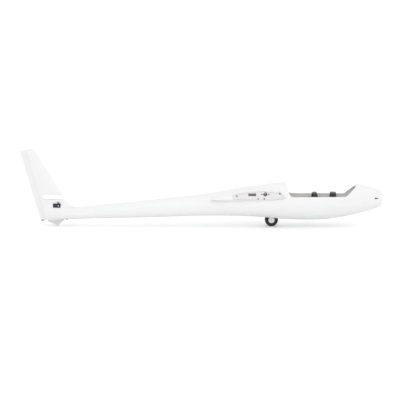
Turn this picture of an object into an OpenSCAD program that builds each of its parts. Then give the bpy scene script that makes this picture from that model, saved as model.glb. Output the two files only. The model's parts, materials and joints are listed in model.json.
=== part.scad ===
// Fuselage unit of a foam RC sailplane: two moulded halves with fin, rudder, wheel, wing roots and fittings.
// Frame: +X to the nose, +Y to port, +Z up. The origin is the centre of the wing joiner's bore.

/* [Fuselage] */
// Wing joiner to nose face
nose_l = 362; // [320:1:440]
// Wing joiner to the foot of the rudder
tail_l = 696; // [590:1:840]
// Width of the body at its widest
body_w = 90; // [84:1:110]
// Depth of the body from crown to keel at the wing
body_h = 118; // [108:1:142]
// Foam wall around the cockpit
wall_front = 7; // [5:0.5:9]
// Foam wall in the tail boom
wall_boom = 5; // [4:0.5:6]
// Diameter of the flat nose face
nose_face_d = 42; // [40:1:50]
// Height of the thrust line under the wing joiner
thrust_drop = 20; // [16:0.5:21]

/* [Cockpit] */
// Wing joiner to the foot of the hatch's rear edge
hatch_rear_x = 78; // [72:1:90]
// Length of the hatch sill
hatch_l = 171; // [140:1:190]
// Sill height under the wing joiner
sill_drop = 10; // [4:1:16]
// Battery tray under the wing joiner
tray_drop = 50; // [44:1:56]
// Width of the battery tray
tray_w = 52; // [44:1:58]
// Thickness of the plywood parts
ply_t = 3; // [2:0.5:4]
// Width of a battery strap
strap_w = 16; // [12:1:20]
// Thickness of a battery strap
strap_t = 1.8; // [1.2:0.2:2.4]
// Height of the strap loops above the tray
strap_rise = 50; // [30:1:52]

/* [Wing root] */
// Width over the two root ribs
root_w = 92; // [90:1:104]
// Chord of the wing at the root
root_chord = 226; // [200:1:240]
// Thickness of the wing at the root
root_t = 30; // [26:1:33]
// Wing joiner to the wing's leading edge
root_le_x = 60; // [54:1:66]
// Length of the plastic rib, from the leading edge
rib_l = 160; // [146:1:166]
// Thickness of the rib plate
rib_t = 2.5; // [2:0.5:3.5]
// Diameter of the wing joiner tube that slides in
joiner_d = 10; // [8:0.5:12]
// Diameter of the wing pins
wing_pin_d = 5; // [4:0.5:6]
// Clearance on the radius of a sliding joiner or pin
slide_gap = 0.1; // [0.05:0.05:0.2]

/* [Fin and rudder] */
// Height of the fin's tip above the wing joiner
fin_tip_h = 137; // [115:1:165]
// Chord of the fin at the tailplane
fin_chord = 92; // [84:1:104]
// Sweep of the trailing edge, degrees
rudder_sweep = 15.3; // [12:0.1:18]
// Sweep of the leading edge, degrees
fin_sweep = 31; // [28:0.5:33]
// Thickest point of the fin at the tailplane
fin_t = 15; // [12:0.5:18]
// Trailing edge to the rudder's hinge line
rudder_chord = 18; // [16:0.5:20]
// Thickness of the trailing edge
edge_t = 1.6; // [1.2:0.1:2]
// Radius of the rudder's round nose
rudder_nose_r = 3.3; // [3:0.1:3.6]
// Gap between the rudder's nose and its cove
rudder_gap = 0.5; // [0.4:0.1:0.8]
// Height of the tailplane slot
slot_h = 13; // [10:0.5:14]
// Middle of the tailplane slot under the wing joiner
slot_drop = 16.3; // [15:0.1:18]
// Fin post left between the hinge line and the slot
post_l = 9.5; // [9:0.5:12]

/* [Servos] */
// Length of a servo case
servo_l = 23; // [21:0.5:24]
// Width of a servo case
servo_w = 12; // [10.5:0.5:12.5]
// Depth of a servo case
servo_h = 20; // [18:0.5:20.5]
// Radius of the rudder arm and of the rudder horn
arm_r = 14; // [13:0.5:15]
// Diameter of the rudder pushrod wire
wire_d = 1.2; // [1:0.1:1.6]

/* [Wheel] */
// Diameter of the tyre
tyre_d = 41; // [36:1:48]
// Width of the tyre
tyre_w = 13; // [11:0.5:15]
// Axle to the belly
axle_drop = 6.5; // [4:0.5:10]
// Wing joiner to the axle
wheel_x = 22; // [16:1:30]
// Diameter of the axle
axle_d = 3; // [2.5:0.5:4]

/* [Hidden] */
$fn = 48;
thin = 0.01;
fit = 0.3;
run_gap = 0.06;
big = 400;

// Stations at a body 118 deep and 90 wide: share of tail_l (negative) or nose_l, crown, keel, half breadth.
STATIONS = [
    [-1.02, -45, -87.6, 3.5], [-0.982, -38, -87.4, 6], [-0.945, -33, -87, 12], [-0.915, -36, -86.6, 15.5],
    [-0.87, -46, -85.4, 16.5], [-0.82, -46.5, -84.1, 17.5], [-0.72, -39.5, -82.4, 20.5], [-0.5, -24,
        -79, 26],
    [-0.29, -8, -74.2, 33], [-0.14, 8, -74, 39], [-0.02, 21.5, -77.5, 43], [0.11, 29.3, -81.8, 44.5],
    [0.22, 31, -84.5, 45], [0.39, 33, -86, 45], [0.55, 33, -83, 43], [0.69, 30, -75.5, 39],
    [0.8, 25, -66.5, 34], [0.89, 18, -58, 29], [0.95, 10.5, -51, 25], [0.984, 6, -46, 22.8]];
BREADTH = 3;
SECTION_STEPS = 28;
SQUARENESS = 2.15;
WIDEST = 0.47;

function station_x(i) = STATIONS[i][0] * (STATIONS[i][0] < 0 ? tail_l : nose_l);
function station_scale(col) = col == BREADTH ? body_w / 90 : body_h / 118;
function station_v(i, col) = STATIONS[i][col] * station_scale(col);
function slope_at(i, col) = (i == 0 || i == len(STATIONS) - 1) ? 0
    : (station_v(i + 1, col) - station_v(i - 1, col)) / (station_x(i + 1) - station_x(i - 1));
function span_of(x, i = 0) = (i >= len(STATIONS) - 2 || x < station_x(i + 1)) ? i : span_of(x, i + 1);
// Cubic through the stations, with the slope of each station's neighbours
function cubic(t, h, a, b, da, db) = (2*t*t*t - 3*t*t + 1) * a + (t*t*t - 2*t*t + t) * h * da
    + (3*t*t - 2*t*t*t) * b + (t*t*t - t*t) * h * db;
function along(x, col, i) = cubic((x - station_x(i)) / (station_x(i + 1) - station_x(i)),
    station_x(i + 1) - station_x(i), station_v(i, col), station_v(i + 1, col),
    slope_at(i, col), slope_at(i + 1, col));
function at(x, col) = along(x, col, span_of(x));
function crown(x) = at(x, 1);
function keel(x) = at(x, 2);
function half_w(x) = at(x, BREADTH);
function wide_z(x) = keel(x) + WIDEST * (crown(x) - keel(x));
function power(v, n) = sign(v) * pow(abs(v), n);
// Half breadth of the skin at a height
function skin_y(x, z) = half_w(x) * pow(1 - pow(abs((z - wide_z(x))
    / (z > wide_z(x) ? crown(x) - wide_z(x) : wide_z(x) - keel(x))), SQUARENESS), 1 / SQUARENESS);
function section(x, inset) = [for (i = [0:SECTION_STEPS - 1])
    let (a = 360 * i / SECTION_STEPS, s = sin(a),
        rise = s > 0 ? crown(x) - wide_z(x) : wide_z(x) - keel(x))
    [(half_w(x) - inset) * power(cos(a), 2 / SQUARENESS), wide_z(x) + (rise - inset) * power(s, 2 /
        SQUARENESS)]];
function wall_at(x) = x > 0 ? wall_front : wall_boom;

// Wing section: a cambered four-digit profile between the leading and trailing edges
root_le_z = -9.4;
root_te_z = -18;
root_camber = 0.035;
function profile_t(s) = 5 * root_t / root_chord * (0.2969 * sqrt(s) - 0.126 * s - 0.3516 * s * s
    + 0.2843 * s * s * s - 0.1036 * s * s * s * s);
function camber_at(s) = s < 0.4 ? root_camber / 0.16 * (0.8 * s - s * s)
    : root_camber / 0.36 * (0.2 + 0.8 * s - s * s);
function profile_z(s, side) = root_le_z + (root_te_z - root_le_z) * s
    + root_chord * (camber_at(s) + side * profile_t(s));
function profile_s(i) = pow(i / 14, 1.8);
root_profile = concat([for (i = [14:-1:0]) [root_le_x - root_chord * profile_s(i),
    profile_z(profile_s(i), 1)]],
    [for (i = [1:14]) [root_le_x - root_chord * profile_s(i), profile_z(profile_s(i), -1)]]);

// Fin and rudder in side view
te_foot_x = -tail_l;
te_foot_z = keel(te_foot_x);
function te_x(z) = te_foot_x - tan(rudder_sweep) * (z - te_foot_z);
slot_z = -slot_drop;
slot_top = slot_z + slot_h / 2;
slot_floor = slot_z - slot_h / 2;
function le_x(z) = te_x(slot_top) + fin_chord - tan(fin_sweep) * (z - slot_top);
function hinge_x(z) = te_x(z) + rudder_chord;
fin_foot_z = keel(-0.86 * tail_l) + 40 * body_h / 118;
lower_fin_z = slot_floor - 3;
lower_le_x = le_x(slot_top) + 2;
lower_foot_x = lower_le_x + 33;

// Hinge frame: origin on the hinge line, x forward, z up along the hinge
hinge_z = -70;
module in_hinge_frame() translate([hinge_x(hinge_z), 0, hinge_z]) rotate([0, -rudder_sweep, 0]) children();
hinge_low = (te_foot_z - hinge_z) / cos(rudder_sweep) - 8;
hinge_high = (fin_tip_h - hinge_z) / cos(rudder_sweep) + 8;
hinge_spots = [-6, 122, 186 * fin_tip_h / 137];
leaf_w = 9;
leaf_l = 11;
leaf_t = 0.8;
knuckle_r = 1.5;
notch_w = 4.6;
hinge_pin_r = 0.6;

// Rudder linkage in the hinge frame
linkage_z = -14;
rudder_throw = 20;
arm_shaft_x = 78 * tail_l / 696;
arm_shaft_z = linkage_z - arm_r;
servo_face_y = skin_y(hinge_x(hinge_z) + arm_shaft_x * cos(rudder_sweep) - arm_shaft_z * sin(rudder_sweep),
    hinge_z + arm_shaft_x * sin(rudder_sweep) + arm_shaft_z * cos(rudder_sweep)) - 0.4;
boss_r = 5.8;
boss_h = 2.6;
shaft_r = 2.4;
arm_t = 1.6;
arm_y = servo_face_y + boss_h + 0.4;
rod_y = arm_y + arm_t + 1.2;
throw_gap = 0.5;

// Elevator servo
ele_x = -643.5 * tail_l / 696;
ele_z = -41.5 * body_h / 118;
ele_face_y = -(skin_y(ele_x, ele_z) - 1);
ele_arm_r = 11;

// Wheel
axle_z = keel(wheel_x) - axle_drop;
well_l = 48;
cheek_t = 2.4;
cheek_gap = 1;
fork_w = tyre_w + 2 * (cheek_gap + cheek_t);
fork_top = axle_z + tyre_d / 2 + 3;
cheek_r = 9.3;
neck_w = 13;
hub_r = 11.5;

// Nose
plate_t = 4;
plate_x = nose_l - 8;
nose_mouth_r = 15;
vent_x = nose_l - 21;
vent_z = 4 - thrust_drop;
vent_r = 3;

// Rib fittings, as [x, z] from the joiner
rear_pin = [-87, -5.3];
front_pin = [45, 1.5];
socket_at = [-40, -1.2];
socket_w = 22;
socket_h = 5.6;
socket_d = 11;
screw_spots = [[-10.5, 0], [10.5, 0], [-21.7, -14], [-3, -14]];
screw_r = 1;
sleeve_r = joiner_d / 2 + slide_gap + 1.2;
rib_y = root_w / 2 - 1;
pin_boss_l = 11;

// Foam
foam = [0.95, 0.95, 0.96];

function ring(x, inset) = [for (p = section(x, inset)) [x, p[0], p[1]]];
function nose_ring(x, r) = [for (i = [0:SECTION_STEPS - 1]) let (a = 360 * i / SECTION_STEPS)
    [x, r * power(cos(a), 2 / SQUARENESS), r * power(sin(a), 2 / SQUARENESS) - thrust_drop]];
function ring_xs(x0, x1, n) = [for (i = [0:n]) x0 + (x1 - x0) * i / n];

// Closed skin over a row of rings that all have the same number of points
module loft(rings) {
    n = len(rings[0]);
    last = (len(rings) - 1) * n;
    polyhedron(points = [for (r = rings) for (p = r) p], faces = concat(
        [[for (i = [0:n - 1]) i]],
        [[for (i = [n - 1:-1:0]) last + i]],
        [for (k = [0:len(rings) - 2]) for (i = [0:n - 1]) [k * n + i, (k + 1) * n + i, (k + 1) * n + (i
            + 1) % n]],
        [for (k = [0:len(rings) - 2]) for (i = [0:n - 1]) [k * n + i, (k + 1) * n + (i + 1) % n, k * n
            + (i + 1) % n]]));
}

outer_xs = concat(ring_xs(-1.0 * tail_l - 8, -0.87 * tail_l, 6), ring_xs(-0.82 * tail_l, -0.14 * tail_l, 6),
    ring_xs(-0.08 * tail_l, 0.69 * nose_l, 9), ring_xs(0.75 * nose_l, nose_l - 6, 5));
inner_xs = concat(ring_xs(-0.8 * tail_l, -0.14 * tail_l, 5), ring_xs(-0.06 * tail_l, 0.69 * nose_l, 7),
    ring_xs(0.75 * nose_l, plate_x - 2, 3));

module body_blank() {
    loft(concat([for (x = outer_xs) ring(x, 0)],
        [nose_ring(nose_l - 2, nose_face_d / 2 + 1.2), nose_ring(nose_l, nose_face_d / 2 - 2.5)]));
}

module body_hollow() {
    loft([for (x = inner_xs) ring(x, wall_at(x))]);
}

module root_fairing(side) {
    hull() {
        translate([0, side * root_w / 2, 0]) rotate([90, 0, 0]) linear_extrude(thin) polygon(root_profile);
        translate([0, side * (root_w / 2 - 20), 0]) rotate([90, 0, 0]) linear_extrude(thin)
            offset(delta = 5) polygon(root_profile);
    }
}

// Fin outline at one height: elliptic nose, flat sides, straight taper to the trailing edge
function fin_half_t(s, t) = s < 0.3 ? t / 2 * sqrt(1 - pow((0.3 - s) / 0.3, 2))
    : s < 0.5 ? t / 2 : edge_t / 2 + (t - edge_t) / 2 * (1 - s) / 0.5;
fin_s = [0, 0.012, 0.05, 0.11, 0.2, 0.3, 0.5, 1];
function fin_slice(z, x_le, t) = let (chord = x_le - te_x(z)) concat(
    [for (s = fin_s) [x_le - s * chord, fin_half_t(s, t), z]],
    [for (i = [len(fin_s) - 1:-1:1]) [x_le - fin_s[i] * chord, -fin_half_t(fin_s[i], t), z]]);
// The lower leading edge runs down to the boom in an S: share of its drop at each slice
s_curve = [1, 0.94, 0.75, 0.5, 0.25, 0.06, 0];
function s_curve_x(v) = lower_le_x + (lower_foot_x - lower_le_x) * acos(1 - 2 * v) / 180;

tip_t = 7.5;
tip_rise = 13.5;
module tip_cut() {
    translate([te_x(fin_tip_h), 0, fin_tip_h - 11]) rotate([0, -tip_rise, 0]) translate([-big / 2, -big
        / 2, 0])
        cube([big, big, big]);
}

module fin_blank() {
    difference() {
        loft(concat([fin_slice(te_foot_z, te_x(te_foot_z) + 62, fin_t - 4.5)],
            [for (v = s_curve) fin_slice(lower_fin_z - v * (lower_fin_z - fin_foot_z), s_curve_x(v),
                fin_t)],
            [fin_slice(slot_z, le_x(slot_z), fin_t), fin_slice(fin_tip_h, le_x(fin_tip_h), tip_t)]));
        tip_cut();
    }
}

module behind_hinge(extra) {
    in_hinge_frame() translate([-big, -big / 2, hinge_low - 40]) cube([big + extra, big, big]);
}

module hinge_bar(r) {
    in_hinge_frame() translate([0, 0, hinge_low]) cylinder(r = r, h = hinge_high - hinge_low);
}

module hatch_cut() {
    rotate([90, 0, 0]) translate([0, 0, -big / 2]) linear_extrude(big) offset(r = 13) offset(delta = -13)
        polygon([[hatch_rear_x - 24, 60], [hatch_rear_x, -sill_drop],
            [hatch_rear_x + hatch_l, -sill_drop], [hatch_rear_x + hatch_l + 78, 60]]);
}

module tail_slot() {
    back = hinge_x(slot_z) + post_l + slot_h / 2;
    hull() for (x = [back, back + 140]) translate([x, 0, slot_z]) rotate([90, 0, 0])
        cylinder(r = slot_h / 2, h = 60, center = true);
}

module rib_outline(inset) {
    intersection() {
        offset(delta = -inset) polygon(root_profile);
        translate([root_le_x - rib_l, -60]) square([rib_l + 20, 120]);
    }
}

// Everything that is set into one foam half
module fitting_cuts(side) {
    translate([0, side * (rib_y - rib_t - fit), 0]) rotate([-90 * side, 0, 0]) mirror([0, side > 0 ? 1
        : 0, 0])
        linear_extrude(20) rib_outline(1.6);
    for (p = [rear_pin, front_pin]) translate([p[0], 0, p[1]]) rotate([-90 * side, 0, 0])
        translate([0, 0, rib_y - rib_t - pin_boss_l - fit]) cylinder(r = wing_pin_d / 2 + 2 + fit, h = 30);
    for (p = screw_spots) translate([p[0], 0, p[1]]) rotate([-90 * side, 0, 0])
        translate([0, 0, rib_y - rib_t - 7]) cylinder(r = screw_r + 0.2, h = 20);
    round_pocket(socket_at[0] - socket_w / 2 - 1.5 - fit, socket_at[0] + socket_w / 2 + 1.5 + fit,
        socket_at[1] - socket_h / 2 - 1.5 - fit, socket_at[1] + socket_h / 2 + 1.5 + fit,
        side > 0 ? 20 : -60, side > 0 ? 60 : -20, 0.5);
    rotate([-90 * side, 0, 0]) cylinder(r = sleeve_r + 2.5 + fit, h = 60);
}

module rod_run(side, r) {
    x0 = -0.79 * tail_l;
    x1 = -0.2 * tail_l;
    y0 = half_w(x0) - 3.1;
    y1 = half_w(x1) - 3.1;
    z0 = wide_z(x0);
    z1 = wide_z(x1);
    run = sqrt(pow(x1 - x0, 2) + pow(y1 - y0, 2) + pow(z1 - z0, 2));
    translate([x0, side * y0, z0]) rotate([0, acos((z1 - z0) / run), atan2(side * (y1 - y0), x1 - x0)])
        cylinder(r = r, h = run);
}

// Rounded slot for a fitting, open along +Y
module round_pocket(x0, x1, z0, z1, y0, y1, r) {
    hull() for (x = [x0 + r, x1 - r]) for (z = [z0 + r, z1 - r]) translate([x, y0, z]) rotate([-90, 0, 0])
        cylinder(r = r, h = y1 - y0, $fn = 16);
}
module servo_pocket() {
    round_pocket(servo_w / 2 - servo_l - 0.4, servo_w / 2 + 0.4, -servo_w / 2 - 0.4, servo_w / 2 + 0.4,
        -servo_h - 0.2, 14, 0.6);
}
module servo_block(gap) {
    translate([-servo_l + servo_w / 2 - gap, -servo_h - gap, -servo_w / 2 - gap])
        cube([servo_l + 2 * gap, servo_h + gap, servo_w + 2 * gap]);
}

module at_rudder_servo() in_hinge_frame() translate([arm_shaft_x, servo_face_y, arm_shaft_z]) children();
module at_elevator_servo() translate([ele_x + servo_l / 2 - servo_w / 2, ele_face_y, ele_z])
    mirror([0, 1, 0]) children();

module leaf_slots(gap) {
    for (z = hinge_spots) in_hinge_frame() translate([-leaf_l - 1, -leaf_t / 2 - gap, z - leaf_w / 2 - gap])
        cube([2 * leaf_l + 2, leaf_t + 2 * gap, leaf_w + 2 * gap]);
}

module wheel_well() {
    hull() for (x = [-1, 1]) for (y = [-1, 1]) translate([wheel_x + x * (well_l / 2 - 0.5), y * (fork_w
        / 2 - 0.5), keel(wheel_x) - 20])
        cylinder(r = 0.9, h = 20 + fork_top - keel(wheel_x) + 0.3, $fn = 16);
}
// Teardrop air vent on each side of the motor bay
module motor_vent() {
    for (s = [-1, 1]) hull() {
        translate([vent_x, s * 12, vent_z]) rotate([-90 * s, 0, 0]) cylinder(r = vent_r, h = 30);
        translate([vent_x + 9, s * 17, vent_z]) rotate([-90 * s, 0, 0]) cylinder(r = 0.8, h = 25);
    }
}

module half_shell(side) {
    intersection() {
        translate([-big * 2.5, side > 0 ? 0 : -big, -big]) cube([big * 4, big, big * 2]);
        difference() {
            union() {
                body_blank();
                fin_blank();
                root_fairing(side);
            }
            body_hollow();
            hatch_cut();
            tail_slot();
            behind_hinge(0.4);
            hinge_bar(rudder_nose_r + rudder_gap);
            fitting_cuts(side);
            rod_run(side, 1.7);
            leaf_slots(0.05);
            in_hinge_frame() translate([6.2, 0, 4]) cylinder(r = 1.5, h = 108);
            at_rudder_servo() servo_pocket();
            at_elevator_servo() servo_pocket();
            wheel_well();
            motor_vent();
            skid_tab(0.05);
            translate([tail_screw_x, 0, keel(tail_screw_x) - 5]) cylinder(r = 3.2, h = slot_floor -
                keel(tail_screw_x) + 10);
            translate([plate_x - 0.2, 0, -thrust_drop]) rotate([0, 90, 0]) cylinder(r = 19.3, h =
                plate_t + 0.2);
            translate([plate_x - 6, 0, -thrust_drop]) rotate([0, 90, 0]) cylinder(r = nose_mouth_r, h = 30);
        }
    }
}

module fuselage_right_half() color(foam) half_shell(-1);
module fuselage_left_half() color(foam) half_shell(1);

module boom_stiffener_right() color([0.1, 0.1, 0.1]) rod_run(-1, 1.5);
module boom_stiffener_left() color([0.1, 0.1, 0.1]) rod_run(1, 1.5);
module fin_post_rod() color([0.1, 0.1, 0.1]) in_hinge_frame() translate([6.2, 0, 5]) cylinder(r = 1.25,
    h = 106);

// Root rib: plate in the foam's pocket, with bosses for the joiner and the pins
module wing_rib(side) {
    rotate([-90 * side, 0, 0]) mirror([0, side > 0 ? 1 : 0, 0]) difference() {
        union() {
            translate([0, 0, rib_y - rib_t]) linear_extrude(rib_t) rib_outline(2);
            translate([0, 0, rib_y - rib_t - 14]) cylinder(r = sleeve_r + 2.5, h = 14.5);
            for (p = [rear_pin, front_pin]) translate([p[0], p[1], rib_y - rib_t - pin_boss_l])
                cylinder(r = wing_pin_d / 2 + 2, h = pin_boss_l + 0.5);
        }
        translate([0, 0, rib_y - 30]) cylinder(r = sleeve_r, h = 40);
        for (p = [rear_pin, front_pin]) translate([p[0], p[1], rib_y - rib_t - pin_boss_l + 1.5])
            cylinder(r = wing_pin_d / 2 + slide_gap, h = 30);
        for (p = screw_spots) translate([p[0], p[1], rib_y - 10]) cylinder(r = screw_r, h = 20);
        translate([socket_at[0] - socket_w / 2 - 1.5, socket_at[1] - socket_h / 2 - 1.5, rib_y - 20])
            cube([socket_w + 3, socket_h + 3, 40]);
    }
}
module wing_rib_right() color([0.93, 0.93, 0.94]) wing_rib(-1);
module wing_rib_left() color([0.93, 0.93, 0.94]) wing_rib(1);

module rib_screws(side) {
    for (p = screw_spots) translate([p[0], 0, p[1]]) rotate([-90 * side, 0, 0]) difference() {
        union() {
            translate([0, 0, rib_y - rib_t - 6]) cylinder(r = screw_r, h = rib_t + 6);
            translate([0, 0, rib_y]) cylinder(r = 1.9, h = 0.8);
        }
        translate([-1.3, -0.25, rib_y + 0.4]) cube([2.6, 0.5, 1]);
        translate([-0.25, -1.3, rib_y + 0.4]) cube([0.5, 2.6, 1]);
    }
}
module rib_screws_right() color("dimgray") rib_screws(-1);
module rib_screws_left() color("dimgray") rib_screws(1);

module wing_connector(side) {
    translate([socket_at[0], side * (rib_y + 0.3 - socket_d / 2), socket_at[1]]) difference() {
        cube([socket_w + 3, socket_d, socket_h + 3], center = true);
        translate([0, side * 2, 0]) cube([socket_w, socket_d, socket_h], center = true);
    }
}
module wing_connector_right() color([0.2, 0.2, 0.21]) wing_connector(-1);
module wing_connector_left() color([0.2, 0.2, 0.21]) wing_connector(1);

pin_count = 6;
module connector_pins(side) {
    for (i = [0:pin_count - 1]) translate([socket_at[0] + (i - (pin_count - 1) / 2) * 3.2,
        side * (rib_y + 0.3 - socket_d + 2 + 2.5), socket_at[1]]) cube([1, 5, 1], center = true);
}
module connector_pins_right() color("goldenrod") connector_pins(-1);
module connector_pins_left() color("goldenrod") connector_pins(1);

module wing_joiner_sleeve() color("gainsboro") rotate([90, 0, 0]) difference() {
    cylinder(r = sleeve_r, h = 2 * rib_y, center = true);
    cylinder(r = joiner_d / 2 + slide_gap, h = 2 * rib_y + 2, center = true);
}

module motor_mount() color([0.2, 0.2, 0.2]) translate([plate_x, 0, -thrust_drop]) rotate([0, 90, 0])
    difference() {
    cylinder(r = 19, h = plate_t);
    translate([0, 0, -1]) cylinder(r = 5, h = plate_t + 2);
    for (a = [45:90:315]) rotate(a) translate([12.5, 0, -1]) cylinder(r = 1.6, h = plate_t + 2);
}

// Battery bay
tray_x0 = hatch_rear_x + 14;
tray_l = hatch_l - 22;
tray_top = -tray_drop;
strap_half = 21;
strap_front_x = hatch_rear_x + 134;
strap_rear_x = hatch_rear_x + 77;
strap_xs = [strap_rear_x, strap_front_x];
former_xs = [tray_x0 + 12, tray_x0 + tray_l - 14];
module battery_tray() color("burlywood") difference() {
    translate([tray_x0, -tray_w / 2, tray_top - ply_t]) cube([tray_l, tray_w, ply_t]);
    for (x = strap_xs) for (y = [-1, 1]) translate([x - strap_w / 2 - 0.4, y * (strap_half - strap_t /
        2) - strap_t / 2 - 0.4, tray_top - ply_t - 1])
        cube([strap_w + 0.8, strap_t + 0.8, ply_t + 2]);
    for (x = former_xs) translate([x - fit / 2, -8 - fit, tray_top - ply_t - 1]) cube([ply_t + fit, 16
        + 2 * fit, ply_t + 2]);
    translate([tray_x0 + tray_l / 2 - 20, 0, tray_top - ply_t - 1]) cylinder(r = 7, h = ply_t + 2);
    translate([tray_x0 + 28, 0, tray_top - ply_t - 1]) cylinder(r = 7, h = ply_t + 2);
}

module tray_former(x) {
    difference() {
        union() {
            intersection() {
                translate([x, 0, 0]) rotate([90, 0, 90]) linear_extrude(ply_t) polygon(section(x +
                    ply_t, wall_front + 0.6));
                translate([x - 1, -tray_w / 2, -big]) cube([ply_t + 2, tray_w, big + tray_top - ply_t]);
            }
            translate([x, -8, tray_top - ply_t - 4]) cube([ply_t, 16, ply_t + 4]);
        }
        translate([x - 1, 0, tray_top - ply_t - 13]) rotate([0, 90, 0]) cylinder(r = 6, h = ply_t + 2);
    }
}
module tray_former_front() color("burlywood") tray_former(former_xs[1]);
module tray_former_rear() color("burlywood") tray_former(former_xs[0]);

// A strap is one flat loop through the tray's two slots
module loop_outline(h, w, r) {
    translate([-w + r, 0]) square([2 * w - 2 * r, h]);
    translate([-w, 0]) square([2 * w, h - r]);
    for (s = [-1, 1]) translate([s * (w - r), h - r]) circle(r = r);
}
module battery_strap(x) {
    translate([x - strap_w / 2, 0, tray_top - ply_t - 0.4 - strap_t]) rotate([90, 0, 90])
        linear_extrude(strap_w) difference() {
        loop_outline(strap_rise + ply_t + 0.4 + strap_t, strap_half, 12);
        translate([0, strap_t]) loop_outline(strap_rise + ply_t + 0.4 - strap_t, strap_half - strap_t,
            12 - strap_t);
    }
}
module battery_strap_front() color([0.12, 0.12, 0.12]) battery_strap(strap_front_x);
module battery_strap_rear() color([0.12, 0.12, 0.12]) battery_strap(strap_rear_x);

bulkhead_x = hatch_rear_x - 26;
magnet_r = 4;
module bulkhead_magnet_places() {
    for (s = [-1, 1]) translate([bulkhead_x - 1, s * 17, -6]) rotate([0, 90, 0]) children();
}
module cockpit_bulkhead() color("burlywood") difference() {
    translate([bulkhead_x, 0, 0]) rotate([90, 0, 90]) linear_extrude(ply_t) polygon(section(bulkhead_x,
        wall_front + 0.4));
    translate([bulkhead_x - 1, 0, -38]) rotate([0, 90, 0]) cylinder(r = 17, h = ply_t + 2);
    bulkhead_magnet_places() cylinder(r = magnet_r, h = ply_t + 2);
}
module hatch_magnets() color("silver") bulkhead_magnet_places() translate([0, 0, 1]) cylinder(r =
    magnet_r, h = ply_t);

// Tail
tail_screw_x = -665 * tail_l / 696;
module tail_screw_sleeve() color("gainsboro") difference() {
    translate([tail_screw_x, 0, keel(tail_screw_x) + 3]) cylinder(r = 3, h = slot_floor -
        keel(tail_screw_x) - 3);
    translate([tail_screw_x, 0, keel(tail_screw_x)]) cylinder(r = 1.7, h = slot_floor -
        keel(tail_screw_x) + 3);
}

skid_x0 = tail_screw_x - 8;
skid_l = 50;
skid_tip_x = skid_x0 + 31;
skid_drop = 18;
skid_t = 4;
module skid_tab(gap) {
    translate([skid_x0 + 14 - gap, -skid_t / 2 - gap, keel(skid_tip_x) - 6]) cube([skid_l - 20 + 2 *
        gap, skid_t + 2 * gap, 12 + gap]);
}
module tail_skid() color([0.75, 0.75, 0.76]) difference() {
    union() {
        intersection() {
            skid_tab(0);
            translate([skid_x0, -10, keel(skid_tip_x) - 3]) cube([skid_l, 20, 12]);
        }
        rotate([90, 0, 0]) linear_extrude(skid_t, center = true) polygon([[skid_x0, keel(skid_x0) - 1],
            [skid_x0 + 14, keel(skid_tip_x) - 1.5], [skid_x0 + skid_l, keel(skid_x0 + skid_l) - 0.6],
            [skid_x0 + skid_l, keel(skid_x0 + skid_l) - 2.5], [skid_tip_x + 2, keel(skid_tip_x) -
                skid_drop],
            [skid_tip_x - 2, keel(skid_tip_x) - skid_drop], [skid_x0, keel(skid_x0) - 3.5]]);
        translate([tail_screw_x, 0, keel(tail_screw_x) - 3.5]) cylinder(r = 4.5, h = 2.6);
    }
    translate([tail_screw_x, 0, keel(tail_screw_x) - 20]) cylinder(r = 1.7, h = 40);
}

// Wheel and fork
module cheek_outline() {
    circle(r = cheek_r);
    translate([-neck_w / 2, 0]) square([neck_w, fork_top - axle_z]);
    translate([-well_l / 2 + 0.2, 11]) square([well_l - 0.4, fork_top - axle_z - 11]);
}
module wheel_fork() color([0.92, 0.92, 0.93]) translate([wheel_x, 0, axle_z]) rotate([90, 0, 0])
    difference() {
    union() {
        for (s = [-1, 1]) translate([0, 0, s * (fork_w / 2 - cheek_t / 2)]) linear_extrude(cheek_t,
            center = true) cheek_outline();
        translate([-well_l / 2 + 0.2, fork_top - axle_z - 2, -fork_w / 2]) cube([well_l - 0.4, 2, fork_w]);
    }
    cylinder(r = axle_d / 2, h = 60, center = true);
    for (s = [-1, 1]) translate([s * 19, fork_top - axle_z - 5, 0]) rotate([-90, 0, 0]) cylinder(r =
        1.3, h = 10);
}
module fork_screws() color("dimgray") for (s = [-1, 1]) translate([wheel_x + s * 19, 0, fork_top - 3.6]) {
    cylinder(r = 2.5, h = 1.6);
    cylinder(r = 1.3, h = 9);
}
axle_l = fork_w + 6;
module wheel_axle() color("silver") translate([wheel_x, 0, axle_z]) rotate([90, 0, 0]) difference() {
    union() {
        translate([0, 0, -axle_l / 2]) cylinder(r = axle_d / 2, h = axle_l / 2 + fork_w / 2);
        translate([0, 0, fork_w / 2]) cylinder(r = 2.8, h = 1.8);
    }
    translate([0, 0, fork_w / 2 + 0.8]) cylinder(r = 1.2, h = 2, $fn = 6);
}
module axle_nut() color("silver") translate([wheel_x, fork_w / 2, axle_z]) rotate([-90, 0, 0])
    difference() {
    cylinder(r = 3.1, h = 2.4, $fn = 6);
    translate([0, 0, -1]) cylinder(r = axle_d / 2, h = 5);
}
hub_w = tyre_w - 3;
spacer_gap = 0.2;
module axle_spacers() color("gainsboro") for (s = [-1, 1]) translate([wheel_x, s * (fork_w / 2 -
    cheek_t), axle_z]) rotate([s * 90, 0, 0]) difference() {
    cylinder(r = 2.6, h = cheek_gap + (tyre_w - hub_w) / 2 - spacer_gap);
    translate([0, 0, -1]) cylinder(r = axle_d / 2 + run_gap, h = 10);
}
module wheel_hub() color([0.3, 0.3, 0.31]) translate([wheel_x, 0, axle_z]) rotate([90, 0, 0]) difference() {
    union() {
        rotate_extrude() polygon([[axle_d / 2 + run_gap, -hub_w / 2], [4.2, -hub_w / 2], [4.2, -2],
            [hub_r - 2.5, -2],
            [hub_r - 2.5, -hub_w / 2], [hub_r, -hub_w / 2], [hub_r, hub_w / 2], [hub_r - 2.5, hub_w / 2],
            [hub_r - 2.5, 2], [4.2, 2], [4.2, hub_w / 2], [axle_d / 2 + run_gap, hub_w / 2]]);
    }
    for (a = [0:72:288]) rotate(a) translate([6.6, 0, -10]) cylinder(r = 1.4, h = 20);
}
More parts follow.
